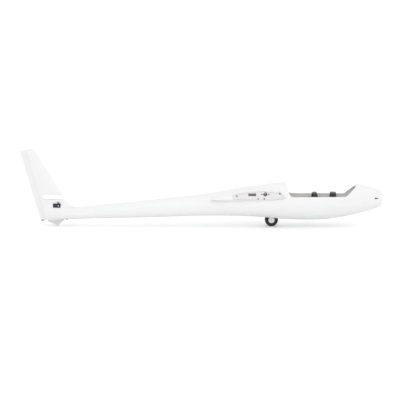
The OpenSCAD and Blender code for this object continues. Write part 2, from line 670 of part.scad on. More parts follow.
tyre_crown_r = 3.2;
module wheel_tyre() color([0.12, 0.12, 0.12]) translate([wheel_x, 0, axle_z]) rotate([90, 0, 0])
    difference() {
    rotate_extrude() {
        translate([hub_r, -hub_w / 2]) square([1, hub_w]);
        translate([hub_r + 0.8, -tyre_w / 2]) square([tyre_d / 2 - hub_r - 0.8 - tyre_crown_r, tyre_w]);
        translate([hub_r + 0.8, -tyre_w / 2 + tyre_crown_r]) square([tyre_d / 2 - hub_r - 0.8, tyre_w -
            2 * tyre_crown_r]);
        for (s = [-1, 1]) translate([tyre_d / 2 - tyre_crown_r, s * (tyre_w / 2 - tyre_crown_r)])
            circle(r = tyre_crown_r);
    }
    rotate_extrude() for (y = [-2.2, 0, 2.2]) translate([tyre_d / 2 - 0.8, y - 0.4]) square([2, 0.8]);
}

// Rudder
module rudder() color([0.94, 0.94, 0.95]) difference() {
    intersection() {
        union() {
            intersection() {
                fin_blank();
                behind_hinge(0);
            }
            difference() {
                hinge_bar(rudder_nose_r);
                tip_cut();
            }
        }
        translate([-big * 2.5, -big / 2, te_foot_z + 0.4]) cube([big * 3, big, big]);
    }
    for (z = hinge_spots) in_hinge_frame() translate([-2.4, -notch_w / 2, z - leaf_w / 2 - 0.6])
        cube([8, notch_w, leaf_w + 1.2]);
    for (z = hinge_spots) in_hinge_frame() translate([-leaf_l - 0.05, -leaf_t / 2, z - leaf_w / 2])
        cube([leaf_l, leaf_t, leaf_w]);
    in_hinge_frame() translate([-14.5, 0.6, linkage_z - horn_set - 4]) cube([9.5, 6, 8]);
}

module leaf(side) {
    difference() {
        union() {
            translate([side > 0 ? 2.4 : -leaf_l, -leaf_t / 2, -leaf_w / 2]) cube([leaf_l - 2.4, leaf_t,
                leaf_w]);
            for (k = side > 0 ? [-1, 1] : [0]) {
                translate([side > 0 ? 0 : -3, -leaf_t / 2, k * 3 - 1.4]) cube([3, leaf_t, 2.8]);
                translate([0, 0, k * 3 - 1.4]) cylinder(r = knuckle_r, h = 2.8);
            }
        }
        translate([0, 0, -10]) cylinder(r = hinge_pin_r + (side > 0 ? 0 : run_gap), h = 20);
    }
}
module rudder_hinge_leaves() color("whitesmoke") for (z = hinge_spots) in_hinge_frame() translate([0,
    0, z]) leaf(-1);
module fin_hinge_leaves() color("whitesmoke") for (z = hinge_spots) in_hinge_frame() translate([0, 0,
    z]) leaf(1);
module hinge_pins() color("silver") for (z = hinge_spots) in_hinge_frame() translate([0, 0, z - 4.4])
    cylinder(r = hinge_pin_r, h = 8.8);

horn_t = 1.6;
horn_hole_r = 0.6 + throw_gap + 0.1;
horn_set = arm_r * (1 - cos(rudder_throw)) / 2;
module horn_outline() {
    difference() {
        union() {
            polygon([[-14, 2], [-6, 2], [2.2, arm_r - 1.5], [-1.4, arm_r + 1.9]]);
            translate([0, arm_r]) circle(r = 2.6);
        }
        translate([0, arm_r]) circle(r = horn_hole_r);
    }
}
module rudder_horn() color([0.15, 0.15, 0.15]) in_hinge_frame() translate([0, 0, linkage_z - horn_set]) {
    translate([0, 0, -horn_t / 2]) linear_extrude(horn_t) horn_outline();
    translate([-14.5, 0.6, -4]) cube([9.5, 2.6, 8]);
}

// Pushrod: straight wire from the clevis to the bend that turns into the arm's hole
clevis_l = 16;
clevis_y = arm_r - horn_set;
rod_x0 = 10;
rod_x1 = arm_shaft_x;
function rod_angle() = atan2(rod_y - clevis_y, rod_x1 - rod_x0);
module rudder_pushrod() color("silver") in_hinge_frame() translate([0, 0, linkage_z]) {
    translate([rod_x0, clevis_y, 0]) rotate([0, 90, rod_angle()])
        cylinder(r = wire_d / 2, h = sqrt(pow(rod_x1 - rod_x0, 2) + pow(rod_y - clevis_y, 2)));
    translate([rod_x1, rod_y, 0]) sphere(r = wire_d / 2 + 0.06);
    translate([rod_x1, arm_y - 0.35, 0]) rotate([-90, 0, 0]) cylinder(r = wire_d / 2, h = rod_y - arm_y
        + 0.35);
}
fork_inner = horn_t + 2 * (horn_set + throw_gap);
module rudder_clevis() color([0.15, 0.15, 0.15]) in_hinge_frame() translate([0, clevis_y, linkage_z])
    difference() {
    union() {
        for (s = [-1, 1]) translate([-2.2, -2, s * (fork_inner / 2 + 0.6) - 0.6]) cube([clevis_l - 4,
            4, 1.2]);
        translate([6.5, -2, -fork_inner / 2 - 1.2]) cube([6, 4, fork_inner + 2.4]);
        translate([0, 0, -fork_inner / 2 - 0.6]) cylinder(r = 0.6, h = fork_inner + 1.2);
    }
    translate([rod_x0, 0, 0]) rotate([0, 90, rod_angle()]) cylinder(r = wire_d / 2, h = 20);
}

module servo_case() {
    difference() {
        union() {
            servo_block(0);
            rotate([-90, 0, 0]) cylinder(r = boss_r, h = boss_h);
            translate([-boss_r - 1.5, 0, 0]) rotate([-90, 0, 0]) cylinder(r = 2.8, h = boss_h);
        }
        translate([0, -6, 0]) rotate([-90, 0, 0]) cylinder(r = shaft_r + run_gap, h = 20);
    }
}
module servo_shaft() {
    difference() {
        translate([0, -5.5, 0]) rotate([-90, 0, 0]) cylinder(r = shaft_r, h = 5.5 + boss_h + 1.7);
        translate([0, boss_h - 4, 0]) rotate([-90, 0, 0]) cylinder(r = 0.9, h = 10);
    }
}
module servo_arm(r, hole_r, up) {
    difference() {
        union() {
            translate([0, boss_h + 0.4, 0]) rotate([-90, 0, 0]) cylinder(r = 3.6, h = 2.4);
            translate([0, boss_h + 0.4, 0]) rotate([-90, 0, 0]) linear_extrude(arm_t)
                polygon([[-3, 0], [3, 0], [2, -up * r], [-2, -up * r]]);
            translate([0, boss_h + 0.4, up * r]) rotate([-90, 0, 0]) cylinder(r = 2, h = arm_t);
        }
        translate([0, boss_h - 1, 0]) rotate([-90, 0, 0]) cylinder(r = shaft_r, h = 2.7);
        translate([0, boss_h - 1, 0]) rotate([-90, 0, 0]) cylinder(r = 1.05, h = 8);
        translate([0, boss_h - 1, up * r]) rotate([-90, 0, 0]) cylinder(r = hole_r, h = 8);
        translate([0, boss_h - 1, up * (r - 3.2)]) rotate([-90, 0, 0]) cylinder(r = 0.7, h = 8);
    }
}
module servo_arm_screw() {
    translate([0, boss_h + 2.8, 0]) rotate([-90, 0, 0]) cylinder(r = 1.9, h = 1.2);
    translate([0, boss_h - 3.8, 0]) rotate([-90, 0, 0]) cylinder(r = 0.9, h = 6.8);
}
module rudder_servo_case() color([0.13, 0.13, 0.14]) at_rudder_servo() servo_case();
module rudder_servo_shaft() color("goldenrod") at_rudder_servo() servo_shaft();
module rudder_servo_arm() color("whitesmoke") at_rudder_servo()
    servo_arm(arm_r, wire_d / 2 + run_gap, 1);
module rudder_arm_screw() color("silver") at_rudder_servo() servo_arm_screw();
module elevator_servo_case() color([0.13, 0.13, 0.14]) at_elevator_servo() servo_case();
module elevator_servo_shaft() color("goldenrod") at_elevator_servo() servo_shaft();
module elevator_servo_arm() color("whitesmoke") at_elevator_servo() servo_arm(ele_arm_r, 0.8, 1);
module elevator_arm_screw() color("silver") at_elevator_servo() servo_arm_screw();

fuselage_right_half();
fuselage_left_half();
boom_stiffener_right();
boom_stiffener_left();
fin_post_rod();
wing_rib_right();
wing_rib_left();
rib_screws_right();
rib_screws_left();
wing_connector_right();
wing_connector_left();
connector_pins_right();
connector_pins_left();
wing_joiner_sleeve();
motor_mount();
battery_tray();
tray_former_front();
tray_former_rear();
battery_strap_front();
battery_strap_rear();
cockpit_bulkhead();
hatch_magnets();
tail_screw_sleeve();
tail_skid();
wheel_fork();
fork_screws();
wheel_axle();
axle_nut();
axle_spacers();
wheel_hub();
wheel_tyre();
rudder();
rudder_hinge_leaves();
fin_hinge_leaves();
hinge_pins();
rudder_horn();
rudder_pushrod();
rudder_clevis();
rudder_servo_case();
rudder_servo_shaft();
rudder_servo_arm();
rudder_arm_screw();
elevator_servo_case();
elevator_servo_shaft();
elevator_servo_arm();
elevator_arm_screw();
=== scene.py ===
"""Looks of the foam sailplane fuselage: moulded skins, wheel, straps, fittings, materials, light and camera.

Every length below is in millimetres in the CAD frame (+X nose, +Y port, +Z up, origin at the wing joiner)
and becomes metres when a piece's mesh is made.
"""

import json
import math

import bmesh
import bpy
import numpy as np
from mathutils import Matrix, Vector


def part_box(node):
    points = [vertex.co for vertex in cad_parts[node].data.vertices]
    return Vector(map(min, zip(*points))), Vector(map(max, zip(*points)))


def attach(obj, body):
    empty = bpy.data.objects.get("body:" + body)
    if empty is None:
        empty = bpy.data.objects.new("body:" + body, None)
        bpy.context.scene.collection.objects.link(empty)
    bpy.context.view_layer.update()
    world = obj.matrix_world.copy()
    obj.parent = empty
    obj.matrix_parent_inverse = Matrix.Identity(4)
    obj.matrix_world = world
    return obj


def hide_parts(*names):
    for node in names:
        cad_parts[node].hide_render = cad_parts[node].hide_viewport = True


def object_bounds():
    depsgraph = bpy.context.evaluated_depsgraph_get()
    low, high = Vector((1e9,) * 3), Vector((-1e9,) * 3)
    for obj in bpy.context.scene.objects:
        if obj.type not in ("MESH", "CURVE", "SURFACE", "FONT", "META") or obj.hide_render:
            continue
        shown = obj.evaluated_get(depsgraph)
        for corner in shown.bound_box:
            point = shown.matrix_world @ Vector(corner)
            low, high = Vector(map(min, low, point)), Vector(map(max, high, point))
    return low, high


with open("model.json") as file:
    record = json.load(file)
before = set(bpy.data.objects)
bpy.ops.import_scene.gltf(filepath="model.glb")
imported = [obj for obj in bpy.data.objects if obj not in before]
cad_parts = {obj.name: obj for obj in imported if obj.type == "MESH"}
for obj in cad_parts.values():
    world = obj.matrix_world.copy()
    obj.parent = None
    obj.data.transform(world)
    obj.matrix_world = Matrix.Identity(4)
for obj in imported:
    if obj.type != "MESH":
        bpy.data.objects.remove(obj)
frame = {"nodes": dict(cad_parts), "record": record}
CAD_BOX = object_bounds()
MM = 0.001

NOSE_L, TAIL_L = 362.0, 696.0
WALL_FRONT, WALL_BOOM = 7.0, 5.0
THRUST_DROP = 20.0
PLATE_X, PLATE_T = 354.0, 4.0

# ---------------------------------------------------------------- fuselage shape
# Stations: share of the tail length (negative) or nose length, crown, keel, half breadth.
STATIONS = np.array([
    [-1.02, -45, -87.6, 3.5], [-0.982, -38, -87.4, 6], [-0.945, -33, -87, 12], [-0.915, -36, -86.6, 15.5],
    [-0.87, -46, -85.4, 16.5], [-0.82, -46.5, -84.1, 17.5], [-0.72, -39.5, -82.4, 20.5], [-0.5, -24, -79, 26],
    [-0.29, -8, -74.2, 33], [-0.14, 8, -74, 39], [-0.02, 21.5, -77.5, 43], [0.11, 29.3, -81.8, 44.5],
    [0.22, 31, -84.5, 45], [0.39, 33, -86, 45], [0.55, 33, -83, 43], [0.69, 30, -75.5, 39],
    [0.8, 25, -66.5, 34], [0.89, 18, -58, 29], [0.95, 10.5, -51, 25], [0.984, 6, -46, 22.8]], float)
STATION_X = np.where(STATIONS[:, 0] < 0, STATIONS[:, 0] * TAIL_L, STATIONS[:, 0] * NOSE_L)
SQUARENESS, WIDEST = 2.15, 0.47
CROWN, KEEL, BREADTH = 1, 2, 3


def along(x, column):
    """Cubic Hermite curve through the stations; each station's slope is that of the line between its
    neighbours, and zero at both ends."""
    x = np.asarray(x, float)
    values = STATIONS[:, column]
    slopes = np.zeros(len(values))
    slopes[1:-1] = (values[2:] - values[:-2]) / (STATION_X[2:] - STATION_X[:-2])
    i = np.clip(np.searchsorted(STATION_X, x, side="right") - 1, 0, len(values) - 2)
    h = STATION_X[i + 1] - STATION_X[i]
    t = (x - STATION_X[i]) / h
    return ((2 * t**3 - 3 * t**2 + 1) * values[i] + (t**3 - 2 * t**2 + t) * h * slopes[i]
            + (3 * t**2 - 2 * t**3) * values[i + 1] + (t**3 - t**2) * h * slopes[i + 1])


def signed_power(v, n):
    """Power of the size of v, with v's sign."""
    return np.sign(v) * np.abs(v) ** n


def belly_z(x):
    """Height of the widest line: a fixed share of the way from keel to crown."""
    return along(x, KEEL) + WIDEST * (along(x, CROWN) - along(x, KEEL))


def skin_y(x, z):
    """Half breadth of the skin at a height: the superellipse solved for y."""
    mid = belly_z(x)
    rise = np.where(z > mid, along(x, CROWN) - mid, mid - along(x, KEEL))
    return along(x, BREADTH) * (1 - np.abs((z - mid) / rise) ** SQUARENESS) ** (1 / SQUARENESS)


def body_rings(x, inset, steps):
    """Superellipse sections: y is the half breadth times cos(a)^(2/n), z is the rise times sin(a)^(2/n), both
    less the inset."""
    x = np.asarray(x, float)[:, None]
    a = (np.arange(steps) * 2 * math.pi / steps)[None, :]
    mid = belly_z(x)
    rise = np.where(np.sin(a) > 0, along(x, CROWN) - mid, mid - along(x, KEEL)) - inset
    y = (along(x, BREADTH) - inset) * signed_power(np.cos(a), 2 / SQUARENESS)
    z = mid + rise * signed_power(np.sin(a), 2 / SQUARENESS)
    return np.stack([np.broadcast_to(x, y.shape), y, z], axis=-1)


def nose_rings(reach, radius, steps):
    """Rings of the flat nose face: superellipses of the given radii round the thrust line, each a little
    further forward."""
    a = (np.arange(steps) * 2 * math.pi / steps)[None, :]
    reach, radius = np.asarray(reach, float)[:, None], np.asarray(radius, float)[:, None]
    y = radius * signed_power(np.cos(a), 2 / SQUARENESS)
    z = radius * signed_power(np.sin(a), 2 / SQUARENESS) - THRUST_DROP
    return np.stack([np.broadcast_to(reach, y.shape), y, z], axis=-1)


# ---------------------------------------------------------------- mesh helpers
def mesh_piece(name, points, faces):
    """Object at the origin whose mesh holds the points, given in millimetres, in metres."""
    mesh = bpy.data.meshes.new(name)
    mesh.from_pydata((np.asarray(points, float).reshape(-1, 3) * MM).tolist(), [],
                     [list(map(int, f)) for f in faces])
    mesh.update()
    piece = bpy.data.objects.new(name, mesh)
    bpy.context.scene.collection.objects.link(piece)
    return piece


def grid_faces(rows, columns, wrap=True, close_rows=False):
    """Quads of a grid of rows by columns points, numbered row by row; wrap joins the last column to the
    first."""
    r = np.arange(rows if close_rows else rows - 1)
    c = np.arange(columns if wrap else columns - 1)
    a = (r[:, None] * columns + c[None, :]).ravel()
    b = (r[:, None] * columns + (c[None, :] + 1) % columns).ravel()
    d = (((r[:, None] + 1) % rows) * columns + c[None, :]).ravel()
    e = (((r[:, None] + 1) % rows) * columns + (c[None, :] + 1) % columns).ravel()
    return np.stack([a, d, e, b], axis=1)


def loft(name, rings):
    """Closed skin over rings of equal point counts, with a flat cap on the first and the last ring."""
    rows, columns = rings.shape[:2]
    faces = grid_faces(rows, columns).tolist()
    faces.append(list(range(columns)))
    faces.append(list(range(rows * columns - 1, (rows - 1) * columns - 1, -1)))
    return outward(mesh_piece(name, rings, faces))


def outward(piece):
    """Turns every face of a closed piece outwards."""
    bm = bmesh.new()
    bm.from_mesh(piece.data)
    bmesh.ops.recalc_face_normals(bm, faces=bm.faces[:])
    if bm.calc_volume(signed=True) < 0:
        bmesh.ops.reverse_faces(bm, faces=bm.faces[:])
    bm.to_mesh(piece.data)
    bm.free()
    return piece


def block(name, low, high):
    """Box between two corners, in millimetres."""
    low, high = np.array(low, float), np.array(high, float)
    pick = np.array([[0, 0, 0], [1, 0, 0], [1, 1, 0], [0, 1, 0], [0, 0, 1], [1, 0, 1], [1, 1, 1], [0, 1, 1]])
    return outward(mesh_piece(name, low + pick * (high - low),
                              [[0, 1, 2, 3], [7, 6, 5, 4], [0, 4, 5, 1], [1, 5, 6, 2], [2, 6, 7, 3],
                               [3, 7, 4, 0]]))


def prism(name, outline, axis, start, stop):
    """Outline of (u, v) points carried straight from start to stop along x or y; u is x or y, v is z."""
    outline = np.asarray(outline, float)
    rings = []
    for reach in (start, stop):
        along_axis = np.full(len(outline), float(reach))
        columns = ([outline[:, 0], along_axis, outline[:, 1]] if axis == "y"
                   else [along_axis, outline[:, 0], outline[:, 1]] if axis == "x"
                   else [outline[:, 0], outline[:, 1], along_axis])
        rings.append(np.stack(columns, axis=1))
    return loft(name, np.array(rings))


def circle(centre, radius, steps=48, begin=0.0):
    """Points of a circle in a plane, anticlockwise from the angle begin."""
    a = np.arange(steps) * 2 * math.pi / steps + begin
    return np.stack([centre[0] + radius * np.cos(a), centre[1] + radius * np.sin(a)], axis=1)


def pill(ends, radius, steps=24):
    """Outline of a straight slot with round ends, from the first end to the second along u."""
    a = np.linspace(math.pi / 2, 3 * math.pi / 2, steps)
    left = np.stack([ends[0][0] + radius * np.cos(a), ends[0][1] + radius * np.sin(a)], axis=1)
    right = np.stack([ends[1][0] - radius * np.cos(a), ends[1][1] - radius * np.sin(a)], axis=1)
    return np.concatenate([left, right])


def round_corners(outline, radius, steps=6):
    """Outline whose corners are replaced by arcs of the radius, each tangent to both of its edges."""
    outline = np.asarray(outline, float)
    made = []
    for i in range(len(outline)):
        before, here, after = outline[i - 1], outline[i], outline[(i + 1) % len(outline)]
        u, v = (before - here) / np.linalg.norm(before - here), (after - here) / np.linalg.norm(after - here)
        half = math.acos(np.clip(u @ v, -1, 1)) / 2
        if half > math.pi / 2 - 0.02 or radius <= 0:
            made.append(here[None])
            continue
        reach = min(radius / math.tan(half), 0.48 * np.linalg.norm(before - here),
                    0.48 * np.linalg.norm(after - here))
        r = reach * math.tan(half)
        centre = here + (u + v) / np.linalg.norm(u + v) * r / math.sin(half)
        a0 = math.atan2(*(here + u * reach - centre)[::-1])
        a1 = math.atan2(*(here + v * reach - centre)[::-1])
        turn = (a1 - a0 + math.pi) % (2 * math.pi) - math.pi
        a = a0 + turn * np.linspace(0, 1, steps)
        made.append(np.stack([centre[0] + r * np.cos(a), centre[1] + r * np.sin(a)], axis=1))
    return np.concatenate(made)


def carve(body, tools):
    """Adds, cuts or keeps the tools' shapes in turn and leaves one plain mesh: tools is a list of (operation,
    piece)."""
    for operation, tool in tools:
        step = body.modifiers.new(tool.name, "BOOLEAN")
        step.operation, step.object, step.solver = operation, tool, "MANIFOLD"
    dg = bpy.context.evaluated_depsgraph_get()
    mesh = bpy.data.meshes.new_from_object(body.evaluated_get(dg))
    body.modifiers.clear()
    body.data = mesh
    for _, tool in tools:
        if tool.name in bpy.data.objects:
            bpy.data.objects.remove(tool)
    return body


def copy_of(piece, name):
    """Copy of a piece with a mesh of its own."""
    other = bpy.data.objects.new(name, piece.data.copy())
    bpy.context.scene.collection.objects.link(other)
    return other


def smooth(piece, angle=32.0):
    """Smooth shading, with a hard edge wherever two faces meet at more than the angle, weighted by face
    area."""
    piece.data.polygons.foreach_set("use_smooth", np.ones(len(piece.data.polygons), bool))
    piece.data.set_sharp_from_angle(angle=math.radians(angle))
    weigh = piece.modifiers.new("area_weight", "WEIGHTED_NORMAL")
    weigh.keep_sharp = True
    dg = bpy.context.evaluated_depsgraph_get()
    mesh = bpy.data.meshes.new_from_object(piece.evaluated_get(dg))
    piece.modifiers.clear()
    piece.data = mesh
    return piece


def hinge_frame(points):
    """Turns points of the hinge frame (x forward, z up the hinge) into the CAD frame."""
    points = np.asarray(points, float)
    c, s = math.cos(SWEEP), math.sin(SWEEP)
    x, y, z = points[..., 0], points[..., 1], points[..., 2]
    return np.stack([HINGE_X + x * c - z * s, y, HINGE_Z + x * s + z * c], axis=-1)


# ---------------------------------------------------------------- fin outline
SWEEP, FIN_SWEEP, TIP_TILT = math.radians(15.3), math.radians(31.0), math.radians(13.5)
FIN_TIP_Z, FIN_CHORD, FIN_T, TIP_T, EDGE_T = 137.0, 92.0, 15.0, 7.5, 1.6
RUDDER_CHORD, RUDDER_NOSE_R, RUDDER_GAP = 18.0, 3.3, 0.5
SLOT_Z, SLOT_R, POST_L = -16.3, 6.5, 9.5
SLOT_TOP, SLOT_FLOOR = SLOT_Z + SLOT_R, SLOT_Z - SLOT_R
FOOT_X = -TAIL_L
FOOT_Z = float(along(FOOT_X, KEEL))


def trailing_x(z):
    """Straight trailing edge, swept back from its foot."""
    return FOOT_X - math.tan(SWEEP) * (z - FOOT_Z)


def leading_x(z):
    """Straight leading edge above the tailplane slot."""
    return trailing_x(SLOT_TOP) + FIN_CHORD - math.tan(FIN_SWEEP) * (z - SLOT_TOP)


HINGE_Z = -70.0
HINGE_X = trailing_x(HINGE_Z) + RUDDER_CHORD
HINGE_LOW = (FOOT_Z - HINGE_Z) / math.cos(SWEEP) - 8
HINGE_HIGH = (FIN_TIP_Z - HINGE_Z) / math.cos(SWEEP) + 8
HINGE_SPOTS = (-6.0, 122.0, 186.0)
LOWER_FIN_Z = SLOT_FLOOR - 3
LOWER_LE_X = leading_x(SLOT_TOP) + 2
FIN_FOOT_Z = float(along(-0.86 * TAIL_L, KEEL)) + 40
TAIL_SCREW_X = -665.0


def fin_half(s, t):
    """Half thickness at a share s of the chord: an elliptic nose, a flat middle, a soft shoulder and a
    straight taper to the trailing edge."""
    k = (t - EDGE_T)
    nose = t / 2 * np.sqrt(np.clip(1 - ((0.3 - np.minimum(s, 0.3)) / 0.3) ** 2, 0, 1))
    shoulder = t / 2 - k * (np.clip(s, 0.4, 0.6) - 0.4) ** 2 / 0.4
    taper = EDGE_T / 2 + k * (1 - s)
    body = np.where(s < 0.6, shoulder, taper)
    tail_round = np.sqrt(np.clip(1 - ((np.maximum(s, 0.985) - 0.985) / 0.0152) ** 2, 0, 1))
    return np.where(s < 0.3, nose, body) * tail_round


FIN_SHARES = 0.5 - 0.5 * np.cos(np.linspace(0, math.pi, 49))


def fin_ring(x_lead, x_trail, z, half, trim=0.0):
    """Closed outline at one height: x runs from the leading to the trailing edge and back, y is plus and
    minus the half thickness."""
    x = x_lead - trim - FIN_SHARES * (x_lead - x_trail - 2 * trim)
    there = np.stack([x, half, np.broadcast_to(z, x.shape)], axis=1)
    back = np.stack([x, -half, np.broadcast_to(z, x.shape)], axis=1)[-2:0:-1]
    return np.concatenate([there, back])


def fin_blank(name):
    """Fin and rudder in one: the lower leading edge falls to the boom in an S (its drop follows an arc
    cosine), the upper part is ruled up to the slanted tip, whose edge is rounded."""
    rings = [fin_ring(trailing_x(FOOT_Z) + 62, trailing_x(FOOT_Z), FOOT_Z, fin_half(FIN_SHARES, FIN_T - 4.5))]
    for v in np.sin(np.linspace(math.pi / 2, 0, 22)):
        z = LOWER_FIN_Z - v * (LOWER_FIN_Z - FIN_FOOT_Z)
        lead = LOWER_LE_X + 33 * math.acos(1 - 2 * v) / math.pi
        rings.append(fin_ring(lead, trailing_x(z), z, fin_half(FIN_SHARES, FIN_T)))
    p = leading_x(0.0) * (1 - FIN_SHARES) + trailing_x(0.0) * FIN_SHARES
    q = -math.tan(FIN_SWEEP) * (1 - FIN_SHARES) - math.tan(SWEEP) * FIN_SHARES
    rise = math.tan(TIP_TILT)
    top = (FIN_TIP_Z - 11 + (p - trailing_x(FIN_TIP_Z)) * rise) / (1 - q * rise)
    edge = 2.6
    for v in np.concatenate([np.linspace(0, 0.97, 40), 1 - 0.021 * (1 - np.sin(np.linspace(0.3, math.pi / 2,
            9)))]):
        z = SLOT_Z + v * (top - SLOT_Z)
        share = (z - SLOT_Z) / (FIN_TIP_Z - SLOT_Z)
        depth = (top - z) / edge
        shrink = np.sqrt(np.clip(1 - (1 - np.clip(depth, 0.02, 1)) ** 2, 0, 1))
        half = (fin_half(FIN_SHARES, FIN_T) * (1 - share) + fin_half(FIN_SHARES, TIP_T) * share) * shrink
        trim = edge * (1 - shrink)
        x = p + q * z
        x = x + trim * (2 * FIN_SHARES - 1)
        there = np.stack([x, half, z], axis=1)
        rings.append(np.concatenate([there, (there * [1, -1, 1])[-2:0:-1]]))
    return loft(name, np.array(rings))


def hinge_block(name, low, high):
    """Box whose edges follow the hinge line."""
    piece = block(name, low, high)
    points = np.empty(len(piece.data.vertices) * 3)
    piece.data.vertices.foreach_get("co", points)
    points = hinge_frame(points.reshape(-1, 3) / MM) * MM
    piece.data.vertices.foreach_set("co", points.ravel())
    return outward(piece)


def hinge_bar(name, radius, low=HINGE_LOW, high=HINGE_HIGH):
    """Round bar on the hinge line."""
    ring = circle((0, 0), radius, 40)
    rings = [hinge_frame(np.stack([ring[:, 0], ring[:, 1], np.full(len(ring), h)], axis=1)) for h in (low,
            high)]
    return loft(name, np.array(rings))


def tip_block(name):
    """Everything above the slanted tip line."""
    reach, x0 = 300.0, trailing_x(FIN_TIP_Z)
    z0 = FIN_TIP_Z - 11
    rise = reach * math.tan(TIP_TILT)
    outline = [(x0 - reach, z0 - rise), (x0 + reach, z0 + rise), (x0 + reach, z0 + 400),
               (x0 - reach, z0 + 400)]
    return prism(name, outline, "y", -60, 60)


# ---------------------------------------------------------------- wing root
ROOT_CHORD, ROOT_T, ROOT_LE_X, ROOT_LE_Z, ROOT_TE_Z, CAMBER = 226.0, 30.0, 60.0, -9.4, -18.0, 0.035
ROOT_Y, RIB_Y, RIB_T, RIB_L, FIT = 46.0, 45.0, 2.5, 160.0, 0.3
SLEEVE_R, PIN_R, PIN_BOSS_L = 6.3, 2.5, 11.0
PINS = ((-87.0, -5.3), (45.0, 1.5))
SOCKET, SOCKET_W, SOCKET_H = (-40.0, -1.2), 22.0, 5.6


def root_outline(grow=0.0, count=60):
    """Cambered four-digit wing section (x, z), grown along its own normals; the points crowd towards the
    leading edge."""
    s = np.linspace(0, 1, count) ** 1.8
    thick = 5 * ROOT_T / ROOT_CHORD * (0.2969 * np.sqrt(s) - 0.126 * s - 0.3516 * s**2 + 0.2843 * s**3 - 0.1036 * s**4)
    mean = np.where(s < 0.4, CAMBER / 0.16 * (0.8 * s - s**2), CAMBER / 0.36 * (0.2 + 0.8 * s - s**2))
    x = ROOT_LE_X - ROOT_CHORD * s
    mid = ROOT_LE_Z + (ROOT_TE_Z - ROOT_LE_Z) * s + ROOT_CHORD * mean
    upper = np.stack([x, mid + ROOT_CHORD * (thick + 0.001 * s)], axis=1)[::-1]
    lower = np.stack([x, mid - ROOT_CHORD * (thick + 0.001 * s)], axis=1)[1:]
    outline = np.concatenate([upper, lower])
    run = np.roll(outline, -1, 0) - np.roll(outline, 1, 0)
    normal = np.stack([run[:, 1], -run[:, 0]], axis=1)
    normal /= np.linalg.norm(normal, axis=1, keepdims=True)
    away = outline - outline.mean(0)
    normal *= np.sign(np.sum(normal * away, axis=1).sum())
    return outline + normal * grow


def root_fairing(name, side):
    """Fairing between body and wing root: the wing section grows inboard in a hollow curve, o = 5 mm (0.3 u +
    0.7 u^2)."""
    rings = []
    for u in np.linspace(0, 1, 9):
        outline = root_outline(5 * (0.3 * u + 0.7 * u * u))
        rings.append(np.stack([outline[:, 0], np.full(len(outline), side * (ROOT_Y - 20 * u)),
                               outline[:, 1]], axis=1))
    return loft(name, np.array(rings))


def rib_outline(inset):
    """Wing section less an inset, cut off square behind the rear pin."""
    outline = root_outline(-inset)
    keep = outline[outline[:, 0] > ROOT_LE_X - RIB_L]
    order = np.argsort(np.where(outline[:, 0] > ROOT_LE_X - RIB_L)[0])
    keep = keep[order]
    cut = ROOT_LE_X - RIB_L
    top_z = np.interp(cut, outline[:60][::1, 0], outline[:60][::1, 1])
    low = outline[60:]
    low_z = np.interp(-cut, -low[:, 0], low[:, 1])
    return np.concatenate([[[cut, top_z]], keep, [[cut, low_z]]])


# ---------------------------------------------------------------- servos, wheel
ARM_R, THROW = 14.0, math.radians(20)
LINK_Z, ARM_SHAFT_X = -14.0, 78.0
ARM_SHAFT_Z = LINK_Z - ARM_R
SERVO_L, SERVO_W = 23.0, 12.0
SHAFT_POINT = hinge_frame([ARM_SHAFT_X, 0, ARM_SHAFT_Z])
RUDDER_FACE_Y = float(skin_y(SHAFT_POINT[0], SHAFT_POINT[2])) - 0.4
ELE_X, ELE_Z = -643.5, -41.5
ELE_FACE_Y = -(float(skin_y(ELE_X, ELE_Z)) - 1)
ELE_SHAFT_X = ELE_X + SERVO_L / 2 - SERVO_W / 2
WHEEL_X, TYRE_R, TYRE_W, HUB_R = 22.0, 20.5, 13.0, 11.5
AXLE_Z = float(along(WHEEL_X, KEEL)) - 6.5
FORK_TOP = AXLE_Z + TYRE_R + 3
SILL_Z, HATCH_X, HATCH_L = -10.0, 78.0, 171.0
VENT_X, VENT_Z = NOSE_L - 21, 4 - THRUST_DROP


def rounded_box(name, low, high, radius, axis):
    """Box whose four edges along the axis are arcs of the radius."""
    low, high = np.array(low, float), np.array(high, float)
    u, v = {"x": (1, 2), "y": (0, 2), "z": (0, 1)}[axis]
    w = {"x": 0, "y": 1, "z": 2}[axis]
    outline = round_corners([(low[u], low[v]), (high[u], low[v]), (high[u], high[v]), (low[u], high[v])],
                            radius)
    return prism(name, outline, axis, low[w], high[w])


